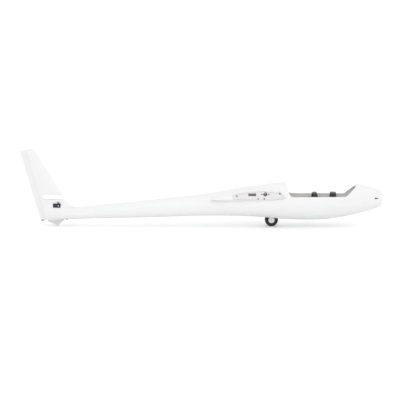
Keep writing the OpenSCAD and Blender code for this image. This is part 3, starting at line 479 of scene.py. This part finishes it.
def fuselage_cutters():
    """Openings that both halves share, each as one closed shape."""
    hollow_x = np.concatenate([np.linspace(-0.8 * TAIL_L, -40, 60), np.linspace(-32, PLATE_X - 2, 70)])
    blend = np.clip((hollow_x + 20) / 40, 0, 1)
    wall = (WALL_BOOM + (WALL_FRONT - WALL_BOOM) * blend**2 * (3 - 2 * blend))[:, None]
    hatch = round_corners([(HATCH_X - 24, 60), (HATCH_X, SILL_Z), (HATCH_X + HATCH_L, SILL_Z),
                           (HATCH_X + HATCH_L + 78, 60)], 13, 14)
    back = trailing_x(SLOT_Z) + RUDDER_CHORD + POST_L + SLOT_R
    vent = np.concatenate([circle((VENT_X, VENT_Z), 3, 25, math.pi / 2)[:13],
                           [(VENT_X + 9, VENT_Z - 0.8), (VENT_X + 9.8, VENT_Z), (VENT_X + 9, VENT_Z + 0.8)]])
    keel_tail = float(along(TAIL_SCREW_X, KEEL))
    well = round_corners([(WHEEL_X - 24.4, -10.3), (WHEEL_X + 24.4, -10.3), (WHEEL_X + 24.4, 10.3),
                          (WHEEL_X - 24.4, 10.3)], 1.4)
    pocket = (-17.4, -20.2, -6.4), (6.4, 14.0, 6.4)
    rudder_pocket = hinge_block("rudder_pocket",
                                (ARM_SHAFT_X + pocket[0][0], RUDDER_FACE_Y + pocket[0][1],
                                 ARM_SHAFT_Z + pocket[0][2]),
                                (ARM_SHAFT_X + pocket[1][0], RUDDER_FACE_Y + pocket[1][1],
                                 ARM_SHAFT_Z + pocket[1][2]))
    elevator_pocket = rounded_box("elevator_pocket", (ELE_SHAFT_X - 17.4, ELE_FACE_Y - 14, ELE_Z - 6.4),
                                  (ELE_SHAFT_X + 6.4, ELE_FACE_Y + 20.2, ELE_Z + 6.4), 0.6, "y")
    tools = [loft("hollow", body_rings(hollow_x, wall, 72)), prism("hatch_gap", hatch, "y", -200, 200),
             prism("slot_gap", pill([(back, SLOT_Z), (back + 140, SLOT_Z)], SLOT_R), "y", -30, 30),
             hinge_block("behind_hinge", (-400, -200, HINGE_LOW - 40), (0.4, 200, 400)),
             hinge_bar("cove", RUDDER_NOSE_R + RUDDER_GAP),
             prism("vent_right", vent, "y", -45, -12), prism("vent_left", vent, "y", 12, 45),
             prism("screw_way", circle((TAIL_SCREW_X, 0), 3.2, 32), "z", keel_tail - 5, SLOT_FLOOR + 5),
             prism("wheel_well", well, "z", AXLE_Z - 20, FORK_TOP + 0.3),
             prism("plate_seat", circle((0, -THRUST_DROP), 19.3, 64), "x", PLATE_X - 0.2, PLATE_X + PLATE_T),
             prism("nose_mouth", circle((0, -THRUST_DROP), 15, 64), "x", PLATE_X - 6, PLATE_X + 30),
             rudder_pocket, elevator_pocket]
    for side in (-1, 1):
        far, mark = 62, "left" if side > 0 else "right"
        tools += [prism("rib_seat_" + mark, rib_outline(1.6), "y", side * (RIB_Y - RIB_T - FIT), side * far),
                  prism("sleeve_way_" + mark, circle((0, 0), SLEEVE_R + 2.8, 48), "y", side * 10, side * far)]
        tools += [prism(f"pin_way_{mark}_{i}", circle(p, PIN_R + 2.3, 32), "y",
                        side * (RIB_Y - RIB_T - PIN_BOSS_L - FIT),
                        side * far) for i, p in enumerate(PINS)]
        tools.append(rounded_box("socket_way_" + mark, (SOCKET[0] - SOCKET_W / 2 - 1.8, min(side * 20,
                side * 60),
                                                        SOCKET[1] - SOCKET_H / 2 - 1.8),
                                 (SOCKET[0] + SOCKET_W / 2 + 1.8, max(side * 20, side * 60),
                                  SOCKET[1] + SOCKET_H / 2 + 1.8), 0.5, "y"))
    return tools


def foam_halves():
    """Two moulded halves: body, fin and root fairings joined, every opening cut, then split on the plane of
    symmetry."""
    body_x = np.concatenate([np.linspace(-TAIL_L - 8, -0.8 * TAIL_L, 70),
                             np.linspace(-0.8 * TAIL_L, -60, 80)[1:],
                             np.linspace(-60, NOSE_L - 6, 110)[1:]])
    turn = np.linspace(0, math.pi / 2, 7)
    round_nose = nose_rings(NOSE_L - 2.6 + 2.6 * np.sin(turn), 18.6 + 3.4 * np.cos(turn), 112)
    whole = loft("foam_shell", np.concatenate([body_rings(body_x, 0, 112), round_nose]))
    tools = [("UNION", fin_blank("fin_blank")), ("UNION", root_fairing("fairing_right", -1)),
             ("UNION", root_fairing("fairing_left", 1))]
    tools += [("DIFFERENCE", t) for t in fuselage_cutters()]
    whole = carve(whole, tools)
    halves = []
    for side, node in ((-1, "fuselage_right_half"), (1, "fuselage_left_half")):
        half = copy_of(whole, "foam_half_left" if side > 0 else "foam_half_right")
        keep = block("keep", (-900, min(0, side * 300), -300), (600, max(0, side * 300), 300))
        carve(half, [("INTERSECT", keep)])
        smooth(half)
        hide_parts(node)
        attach(half, "airframe")
        halves.append(half)
    bpy.data.objects.remove(whole)
    return halves


def foam_rudder():
    """Rudder: the fin behind the hinge line with a round nose bar, notched for the hinges and the horn's
    plate."""
    rudder = fin_blank("foam_rudder")
    bar = hinge_bar("nose_bar", RUDDER_NOSE_R)
    carve(bar, [("DIFFERENCE", tip_block("bar_tip"))])
    tools = [("INTERSECT", hinge_block("rear_part", (-400, -200, HINGE_LOW - 40), (0, 200, 400))),
             ("UNION", bar),
             ("INTERSECT", block("foot_level", (-1100, -100, FOOT_Z + 0.4), (-500, 100, 300)))]
    for i, z in enumerate(HINGE_SPOTS):
        tools.append(("DIFFERENCE", hinge_block(f"notch_{i}", (-2.4, -2.3, z - 5.1), (5.6, 2.3, z + 5.1))))
    set_down = ARM_R * (1 - math.cos(THROW)) / 2
    tools.append(("DIFFERENCE", hinge_block("horn_seat", (-14.5, 0.6, LINK_Z - set_down - 4),
                                            (-5, 6.6, LINK_Z - set_down + 4))))
    carve(rudder, tools)
    smooth(rudder)
    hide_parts("rudder")
    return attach(rudder, "rudder")


# ---------------------------------------------------------------- materials
def finish_of(name, colour, roughness, specular=0.5, metallic=0.0):
    """New material with its shader's plain values; returns the material, its nodes, links and shader."""
    material = bpy.data.materials.new(name)
    material.use_nodes = True
    nodes, links = material.node_tree.nodes, material.node_tree.links
    shader = nodes["Principled BSDF"]
    shader.inputs["Base Color"].default_value = (*colour, 1)
    shader.inputs["Roughness"].default_value = roughness
    shader.inputs["Specular IOR Level"].default_value = specular
    shader.inputs["Metallic"].default_value = metallic
    return material, nodes, links, shader


def place(nodes, links, scale=(1, 1, 1), turn=(0, 0, 0)):
    """Object coordinates, scaled and turned."""
    coordinates = nodes.new("ShaderNodeTexCoord")
    mapping = nodes.new("ShaderNodeMapping")
    mapping.inputs["Scale"].default_value = scale
    mapping.inputs["Rotation"].default_value = turn
    links.new(coordinates.outputs["Object"], mapping.inputs["Vector"])
    return mapping.outputs["Vector"]


def noise(nodes, links, where, scale, detail=4.0, rough=0.55):
    """Fractal noise at a scale per metre."""
    node = nodes.new("ShaderNodeTexNoise")
    node.inputs["Scale"].default_value = scale
    node.inputs["Detail"].default_value = detail
    node.inputs["Roughness"].default_value = rough
    links.new(where, node.inputs["Vector"])
    return node.outputs["Fac"]


def ramp(nodes, links, value, stops):
    """Colour ramp through (position, colour) stops."""
    node = nodes.new("ShaderNodeValToRGB")
    while len(node.color_ramp.elements) < len(stops):
        node.color_ramp.elements.new(0.5)
    for element, (position, colour) in zip(node.color_ramp.elements, stops):
        element.position = position
        element.color = (*colour, 1) if len(colour) == 3 else colour
    links.new(value, node.inputs["Fac"])
    return node.outputs["Color"]


def grey(v):
    return (v, v, v)


def calc(nodes, links, operation, a, b):
    """Math node on two values or sockets."""
    node = nodes.new("ShaderNodeMath")
    node.operation = operation
    for socket, value in zip(node.inputs, (a, b)):
        if isinstance(value, (int, float)):
            socket.default_value = value
        else:
            links.new(value, socket)
    return node.outputs[0]


def blend_colour(nodes, links, factor, a, b, mode="MIX"):
    """Mix node on colours or sockets."""
    node = nodes.new("ShaderNodeMix")
    node.data_type, node.blend_type = "RGBA", mode
    for socket, value in ((node.inputs[0], factor), (node.inputs[6], a), (node.inputs[7], b)):
        if isinstance(value, (int, float)):
            socket.default_value = value
        elif isinstance(value, tuple):
            socket.default_value = (*value, 1)
        else:
            links.new(value, socket)
    return node.outputs[2]


def bump(nodes, links, shader, height, depth_mm, strength=1.0):
    """Bump of a height of 0 to 1 that stands depth_mm high."""
    node = nodes.new("ShaderNodeBump")
    node.inputs["Strength"].default_value = strength
    node.inputs["Distance"].default_value = depth_mm * MM
    links.new(height, node.inputs["Height"])
    links.new(node.outputs["Normal"], shader.inputs["Normal"])


def foam_finish(name, tint, seam):
    """Moulded bead foam: pressed cells 3 mm across with soft joints, a satin skin, faint handling grey and,
    on the halves, the mould's parting line."""
    material, nodes, links, shader = finish_of(name, tint, 0.52, 0.35)
    where = place(nodes, links)
    cells = nodes.new("ShaderNodeTexVoronoi")
    cells.feature = "DISTANCE_TO_EDGE"
    cells.inputs["Scale"].default_value = 330
    links.new(where, cells.inputs["Vector"])
    joints = ramp(nodes, links, cells.outputs["Distance"], [(0.0, grey(0.0)), (0.09, grey(0.75)), (0.3,
            grey(1.0))])
    skin = noise(nodes, links, where, 900, 3)
    clouds = noise(nodes, links, where, 9, 5, 0.6)
    base = blend_colour(nodes, links, clouds, tuple(0.955 * c for c in tint), tint)
    base = blend_colour(nodes, links, joints, tuple(0.94 * c for c in tint), base)
    if seam:
        split = nodes.new("ShaderNodeSeparateXYZ")
        links.new(where, split.inputs[0])
        off = calc(nodes, links, "ABSOLUTE", split.outputs[1], 0.0)
        line = nodes.new("ShaderNodeMapRange")
        line.inputs["From Min"].default_value = 0.0
        line.inputs["From Max"].default_value = 0.0006
        links.new(off, line.inputs["Value"])
        base = blend_colour(nodes, links, line.outputs[0], tuple(0.62 * c for c in tint), base)
        height = calc(nodes, links, "MULTIPLY", joints, line.outputs[0])
    else:
        height = joints
    links.new(base, shader.inputs["Base Color"])
    height = calc(nodes, links, "ADD", calc(nodes, links, "MULTIPLY", height, 0.8),
                  calc(nodes, links, "MULTIPLY", skin, 0.2))
    bump(nodes, links, shader, height, 0.05)
    rough = nodes.new("ShaderNodeMapRange")
    rough.inputs["To Min"].default_value, rough.inputs["To Max"].default_value = 0.45, 0.62
    links.new(clouds, rough.inputs["Value"])
    links.new(rough.outputs[0], shader.inputs["Roughness"])
    shader.inputs["Subsurface Weight"].default_value = 0.06
    shader.inputs["Subsurface Radius"].default_value = (0.004, 0.004, 0.004)
    return material


def moulded_finish(name, tint, roughness, grain=1400, depth=0.02, worn=0.9):
    """Moulded plastic: fine spark-eroded grain, slow changes of tone and of gloss."""
    material, nodes, links, shader = finish_of(name, tint, roughness, 0.45)
    where = place(nodes, links)
    fine, slow = noise(nodes, links, where, grain, 3), noise(nodes, links, where, 45, 4)
    links.new(blend_colour(nodes, links, slow, tuple(worn * c for c in tint), tint),
              shader.inputs["Base Color"])
    gloss = nodes.new("ShaderNodeMapRange")
    gloss.inputs["To Min"].default_value = max(0.05, roughness - 0.1)
    gloss.inputs["To Max"].default_value = min(1.0, roughness + 0.1)
    links.new(slow, gloss.inputs["Value"])
    links.new(gloss.outputs[0], shader.inputs["Roughness"])
    bump(nodes, links, shader, fine, depth)
    return material


def metal_finish(name, tint, roughness, scale, line_stretch=(1, 1, 1)):
    """Bare metal with fine drawing lines along one axis and small changes of tone."""
    material, nodes, links, shader = finish_of(name, tint, roughness, 0.5, 1.0)
    lines = noise(nodes, links, place(nodes, links, line_stretch), scale, 3, 0.7)
    links.new(blend_colour(nodes, links, lines, tuple(0.8 * c for c in tint), tint),
              shader.inputs["Base Color"])
    spread = nodes.new("ShaderNodeMapRange")
    spread.inputs["To Min"].default_value, spread.inputs["To Max"].default_value = roughness * 0.75, roughness * 1.3
    links.new(lines, spread.inputs["Value"])
    links.new(spread.outputs[0], shader.inputs["Roughness"])
    bump(nodes, links, shader, lines, 0.01)
    return material


def carbon_finish():
    """Pultruded carbon rod: black fibres along its length under clear resin."""
    material, nodes, links, shader = finish_of("carbon_rod", (0.02, 0.02, 0.022), 0.28)
    fibres = noise(nodes, links, place(nodes, links, (0.02, 1, 1)), 2400, 2, 0.7)
    links.new(ramp(nodes, links, fibres, [(0.35, grey(0.012)), (0.7, grey(0.05))]),
              shader.inputs["Base Color"])
    shader.inputs["Coat Weight"].default_value = 0.4
    bump(nodes, links, shader, fibres, 0.01)
    return material


def plywood_finish():
    """Birch plywood: long pale grain in the face veneers and thin layers that show on the sawn edges."""
    material, nodes, links, shader = finish_of("birch_plywood", (0.62, 0.44, 0.25), 0.55, 0.3)
    where = place(nodes, links, (1, 9, 9))
    grain = noise(nodes, links, where, 60, 6, 0.65)
    pores = noise(nodes, links, place(nodes, links, (3, 60, 60)), 60, 2)
    tone = ramp(nodes, links, grain, [(0.3, (0.66, 0.54, 0.39)), (0.55, (0.76, 0.65, 0.50)),
                                      (0.75, (0.82, 0.73, 0.59))])
    split = nodes.new("ShaderNodeSeparateXYZ")
    links.new(place(nodes, links), split.inputs[0])
    layer = calc(nodes, links, "SINE", calc(nodes, links, "MULTIPLY", split.outputs[2], 6283.0), 0.0)
    tone = blend_colour(nodes, links, calc(nodes, links, "MULTIPLY",
                                           calc(nodes, links, "GREATER_THAN", layer,
                                                0.6), 0.18), tone, (0.30, 0.18, 0.09))
    links.new(tone, shader.inputs["Base Color"])
    bump(nodes, links, shader, calc(nodes, links, "ADD", grain, pores), 0.06)
    return material


def webbing_finish():
    """Hook and loop webbing: tiny hooks in staggered rows over the u-v map, mixed with brushed fuzz."""
    material, nodes, links, shader = finish_of("hook_and_loop", (0.022, 0.022, 0.024), 0.85, 0.2)
    uv = nodes.new("ShaderNodeUVMap")
    uv.uv_map = "run"
    rows = nodes.new("ShaderNodeTexVoronoi")
    rows.inputs["Scale"].default_value = 900
    rows.inputs["Randomness"].default_value = 0.35
    links.new(uv.outputs["UV"], rows.inputs["Vector"])
    fuzz = noise(nodes, links, uv.outputs["UV"], 2600, 3, 0.7)
    tone = ramp(nodes, links, rows.outputs["Distance"], [(0.0, grey(0.06)), (0.45, grey(0.028)), (0.8,
            grey(0.012))])
    links.new(blend_colour(nodes, links, calc(nodes, links, "MULTIPLY", fuzz, 0.5), tone, grey(0.05)),
              shader.inputs["Base Color"])
    shader.inputs["Sheen Weight"].default_value = 0.35
    shader.inputs["Sheen Roughness"].default_value = 0.5
    height = calc(nodes, links, "SUBTRACT", fuzz, rows.outputs["Distance"])
    bump(nodes, links, shader, height, 0.35)
    return material


def tyre_finish():
    """Soft rubber: fine pores and a dusty bloom."""
    material, nodes, links, shader = finish_of("tyre_rubber", (0.022, 0.022, 0.023), 0.75, 0.3)
    where = place(nodes, links)
    dust, pores = noise(nodes, links, where, 140, 5, 0.6), noise(nodes, links, where, 1600, 3)
    links.new(ramp(nodes, links, dust, [(0.35, grey(0.016)), (0.6, grey(0.03)), (0.8, grey(0.07))]),
              shader.inputs["Base Color"])
    bump(nodes, links, shader, pores, 0.08)
    return material


FINISH = {
    "white_foam": foam_finish("bead_foam", (0.745, 0.745, 0.752), True),
    # The rudder is the same foam as the halves; its darker tint is painted shade, standing in for the fin falling
    # darker under the lamps.
    "rudder_foam": foam_finish("bead_foam_rudder_painted_shade", (0.725, 0.725, 0.733), False),
    "carbon": carbon_finish(),
    "white_plastic": moulded_finish("white_nylon_moulding", (0.665, 0.65, 0.65), 0.4, 900, 0.02, 0.95),
    "dark_screw": metal_finish("blackened_screw", (0.11, 0.11, 0.12), 0.42, 900),
    "connector_grey": moulded_finish("connector_housing", (0.30, 0.30, 0.31), 0.5),
    "brass": metal_finish("plain_brass", (0.72, 0.50, 0.20), 0.3, 1500),
    "aluminium_tube": metal_finish("drawn_tube", (0.70, 0.71, 0.73), 0.32, 1200, (1, 0.05, 1)),
    "black_plastic": moulded_finish("black_mount", (0.03, 0.03, 0.032), 0.5),
    "plywood": plywood_finish(),
    "strap_webbing": webbing_finish(),
    "magnet_plating": metal_finish("nickel_plating", (0.72, 0.71, 0.69), 0.18, 500),
    "grey_plastic": moulded_finish("grey_skid", (0.60, 0.60, 0.605), 0.45),
    "steel": metal_finish("bright_steel", (0.58, 0.58, 0.60), 0.28, 1400, (0.08, 1, 1)),
    "hub_plastic": moulded_finish("hub_moulding", (0.05, 0.05, 0.053), 0.45),
    "tyre_rubber": tyre_finish(),
    "nylon": moulded_finish("natural_nylon", (0.74, 0.74, 0.70), 0.36),
    "black_nylon": moulded_finish("black_nylon_fitting", (0.025, 0.025, 0.027), 0.42),
    "servo_case_plastic": moulded_finish("servo_case", (0.022, 0.022, 0.025), 0.38, 1100, 0.03),
}
SLOT_OF = {row["node"]: row["material_slot"] for row in frame["record"]["subparts"]}
for node, cad_piece in frame["nodes"].items():
    cad_piece.data.materials.clear()
    cad_piece.data.materials.append(FINISH[SLOT_OF[node]])


def dress(piece, slot_name):
    """Gives a new piece its slot's finish."""
    piece.data.materials.clear()
    piece.data.materials.append(FINISH[slot_name])
    return piece


# ---------------------------------------------------------------- pieces
def ring_of(name, profile, centre, steps=96, twist=None):
    """Closed ring: a closed (radius, width) profile turned about the wheel's axle line; twist moves the
    radius by angle."""
    profile = np.asarray(profile, float)
    a = (np.arange(steps) * 2 * math.pi / steps)[:, None]
    radius = np.broadcast_to(profile[None, :, 0], (steps, len(profile)))
    radius = radius if twist is None else radius + twist(a, profile[None, :, 1], radius)
    points = np.stack([centre[0] + radius * np.cos(a), centre[1] + np.broadcast_to(profile[None, :, 1],
            radius.shape),
                       centre[2] + radius * np.sin(a)], axis=-1)
    return outward(mesh_piece(name, points, grid_faces(steps, len(profile), close_rows=True)))


def tyre():
    """Soft tyre: an oval sidewall with three fine ripples, a rounded crown and three tread grooves with cross
    cuts that fade to the shoulder."""
    half, inner, outer = TYRE_W / 2, HUB_R, TYRE_R
    t = np.linspace(0, math.pi / 2, 12)
    crown = 3.2
    side_r = np.linspace(inner + 0.8, outer - crown, 26)
    ripple = 0.16 * np.cos((side_r - inner) * 2.6) - 0.16
    wall = np.stack([side_r, half + ripple], axis=1)
    corner = np.stack([outer - crown + crown * np.sin(t), half - crown + crown * np.cos(t)], axis=1)[1:]
    tread_w = np.linspace(half - crown, -(half - crown), 56)[1:-1]
    groove = 0.8 * np.exp(-((np.abs(tread_w)[:, None] - np.array([0.0, 2.2])) / 0.3) ** 4).max(axis=1)
    tread = np.stack([outer - groove, tread_w], axis=1)
    bead = np.array([[inner, half - 1.5], [inner + 0.4, half - 1.1]])
    upper = np.concatenate([bead, wall, corner])
    lower = upper[::-1] * [1, -1]
    profile = np.concatenate([upper, tread, lower])

    def cross_cuts(a, w, radius):
        """Shallow cuts across the tread: a squared cosine of the angle, skewed by the width."""
        wave = np.cos(36 * a + 0.35 * w)
        return np.where(radius > outer - 1.0, -0.35 * np.clip(wave, 0.6, 1) + 0.21, 0.0)

    piece = ring_of("tyre", profile, (WHEEL_X, 0, AXLE_Z), 288, cross_cuts)
    smooth(piece, 50)
    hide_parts("wheel_tyre")
    dress(piece, "tyre_rubber")
    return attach(piece, "wheel")


def strap(name, node, bulge, lift):
    """Hook and loop strap: a flat band carried round the battery loop; its top sags between rounded shoulders and its
    edges curl down by bulge."""
    low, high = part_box(node)
    x0, x1, half = low[0] / MM, high[0] / MM, high[1] / MM
    bottom, top, thick, corner = low[2] / MM, high[2] / MM, 1.8, 12.0
    path = round_corners([(-half, bottom), (half, bottom), (half, top), (-half, top)], 0)
    path = np.concatenate([round_corners(path, corner, 14)[28:], ])
    top_part = path
    loop = np.concatenate([[(half, bottom)], top_part, [(-half, bottom)]])
    loop = resample(np.concatenate([loop, loop[:1]]), 150)[:-1]
    inward = inward_normals(loop)
    width = np.linspace(-1, 1, 15)
    middle_x, reach = (x0 + x1) / 2, (x1 - x0) / 2
    rows = []
    high_share = np.clip((loop[:, 1] - (top - 16)) / 16, 0, 1)[:, None]
    narrow = 1 - lift * high_share
    sag = bulge * high_share * width[None, :] ** 2
    outer = loop[:, None, :] + inward[:, None, :] * (0.12 + sag)[..., None]
    inner = loop[:, None, :] + inward[:, None, :] * (thick - 0.12 + sag)[..., None]
    x = middle_x + reach * width[None, :] * narrow
    sheet_out = np.stack([x, outer[..., 0], outer[..., 1]], axis=-1)
    sheet_in = np.stack([x, inner[..., 0], inner[..., 1]], axis=-1)[:, ::-1]
    section = np.concatenate([sheet_out, sheet_in], axis=1)
    piece = outward(mesh_piece(name, section, grid_faces(len(loop), section.shape[1], close_rows=True)))
    run = np.linspace(0, 1, len(loop))[:, None] * np.ones((1, section.shape[1])) * 0.2
    across = np.concatenate([width, width[::-1]])[None, :] * np.ones((len(loop), 1)) * reach * MM
    lay_uv(piece, np.stack([run, across], axis=-1).reshape(-1, 2))
    smooth(piece, 60)
    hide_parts(node)
    dress(piece, "strap_webbing")
    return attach(piece, "airframe")


def resample(points, count):
    """Points evenly spaced by length along a broken line."""
    points = np.asarray(points, float)
    reach = np.concatenate([[0], np.cumsum(np.linalg.norm(np.diff(points, axis=0), axis=1))])
    at = np.linspace(0, reach[-1], count)
    return np.stack([np.interp(at, reach, points[:, k]) for k in range(points.shape[1])], axis=1)


def inward_normals(loop):
    """Unit normals of a closed plane loop that point to its middle."""
    run = np.roll(loop, -1, 0) - np.roll(loop, 1, 0)
    normal = np.stack([-run[:, 1], run[:, 0]], axis=1)
    normal /= np.linalg.norm(normal, axis=1, keepdims=True)
    facing = np.sum(normal * (loop.mean(0) - loop), axis=1)
    return normal * np.sign(facing.sum())


def lay_uv(piece, flat):
    """UV map named run: each vertex's own flat coordinates, in metres."""
    layer = piece.data.uv_layers.new(name="run")
    index = np.empty(len(piece.data.loops), np.int32)
    piece.data.loops.foreach_get("vertex_index", index)
    layer.data.foreach_set("uv", flat[index].astype(np.float32).ravel())


for half in foam_halves():
    dress(half, "white_foam")
# The rudder's finish is the darker copy of the foam: painted shade for the fin.
dress(foam_rudder(), "rudder_foam")
tyre()
strap("strap_front", "battery_strap_front", 0.3, 0.02)
strap("strap_rear", "battery_strap_rear", 1.6, 0.16)


# ---------------------------------------------------------------- light, floor and camera
FLOOR_HALF, SKY_LIGHT = 60000, 1.15
# Lamps: name, place (m), size (m), power (W); both look at a point over the middle of the fuselage.
LAMPS = (("key", (-0.15, -1.9, 0.62), 1.2, 5.6), ("fill", (0.2, -0.9, 1.7), 1.0, 1.2))
LAMP_AIM = (-0.17, 0, 0)
CAMERA_AIM, CAMERA_TILT, CAMERA_DISTANCE, LENS_MM, SENSOR_MM = (-0.200, 0, -0.0253), 10, 4.0, 116.1, 36.0


def studio():
    """Pale floor that runs to a pale horizon, a large soft key light above, a weaker fill, and the camera."""
    low, high = CAD_BOX
    wide = FLOOR_HALF
    floor = mesh_piece("studio_floor", [(-wide, -wide, low[2] / MM), (wide, -wide, low[2] / MM),
                                        (wide, wide, low[2] / MM), (-wide, wide,
                                                low[2] / MM)], [[0, 1, 2, 3]])
    paper, nodes, links, shader = finish_of("studio_paper", (0.95, 0.95, 0.95), 0.9, 0.1)
    fibre = noise(nodes, links, place(nodes, links), 3, 4)
    links.new(ramp(nodes, links, fibre, [(0.3, grey(0.94)), (0.7, grey(0.96))]), shader.inputs["Base Color"])
    floor.data.materials.append(paper)
    world = bpy.data.worlds.new("studio_sky")
    bpy.context.scene.world = world
    world.use_nodes = True
    world.node_tree.nodes["Background"].inputs["Color"].default_value = (1, 1, 1, 1)
    world.node_tree.nodes["Background"].inputs["Strength"].default_value = SKY_LIGHT
    for name, spot, size, power in LAMPS:
        lamp = bpy.data.lights.new(name, "AREA")
        lamp.size, lamp.energy = size, power
        rig = bpy.data.objects.new(name, lamp)
        rig.location = spot
        rig.rotation_euler = (Vector(LAMP_AIM) - Vector(spot)).to_track_quat("-Z", "Y").to_euler()
        bpy.context.scene.collection.objects.link(rig)
    lens = bpy.data.cameras.new("camera")
    lens.sensor_width, lens.lens = SENSOR_MM, LENS_MM
    camera = bpy.data.objects.new("camera", lens)
    bpy.context.scene.collection.objects.link(camera)
    target, tilt, distance = Vector(CAMERA_AIM), math.radians(CAMERA_TILT), CAMERA_DISTANCE
    camera.location = target + Vector((0, -math.cos(tilt), math.sin(tilt))) * distance
    camera.rotation_euler = (target - camera.location).to_track_quat("-Z", "Y").to_euler()
    lens.clip_start, lens.clip_end = 0.05, 60
    bpy.context.scene.camera = camera
    bpy.context.scene.view_settings.view_transform = "Standard"


studio()
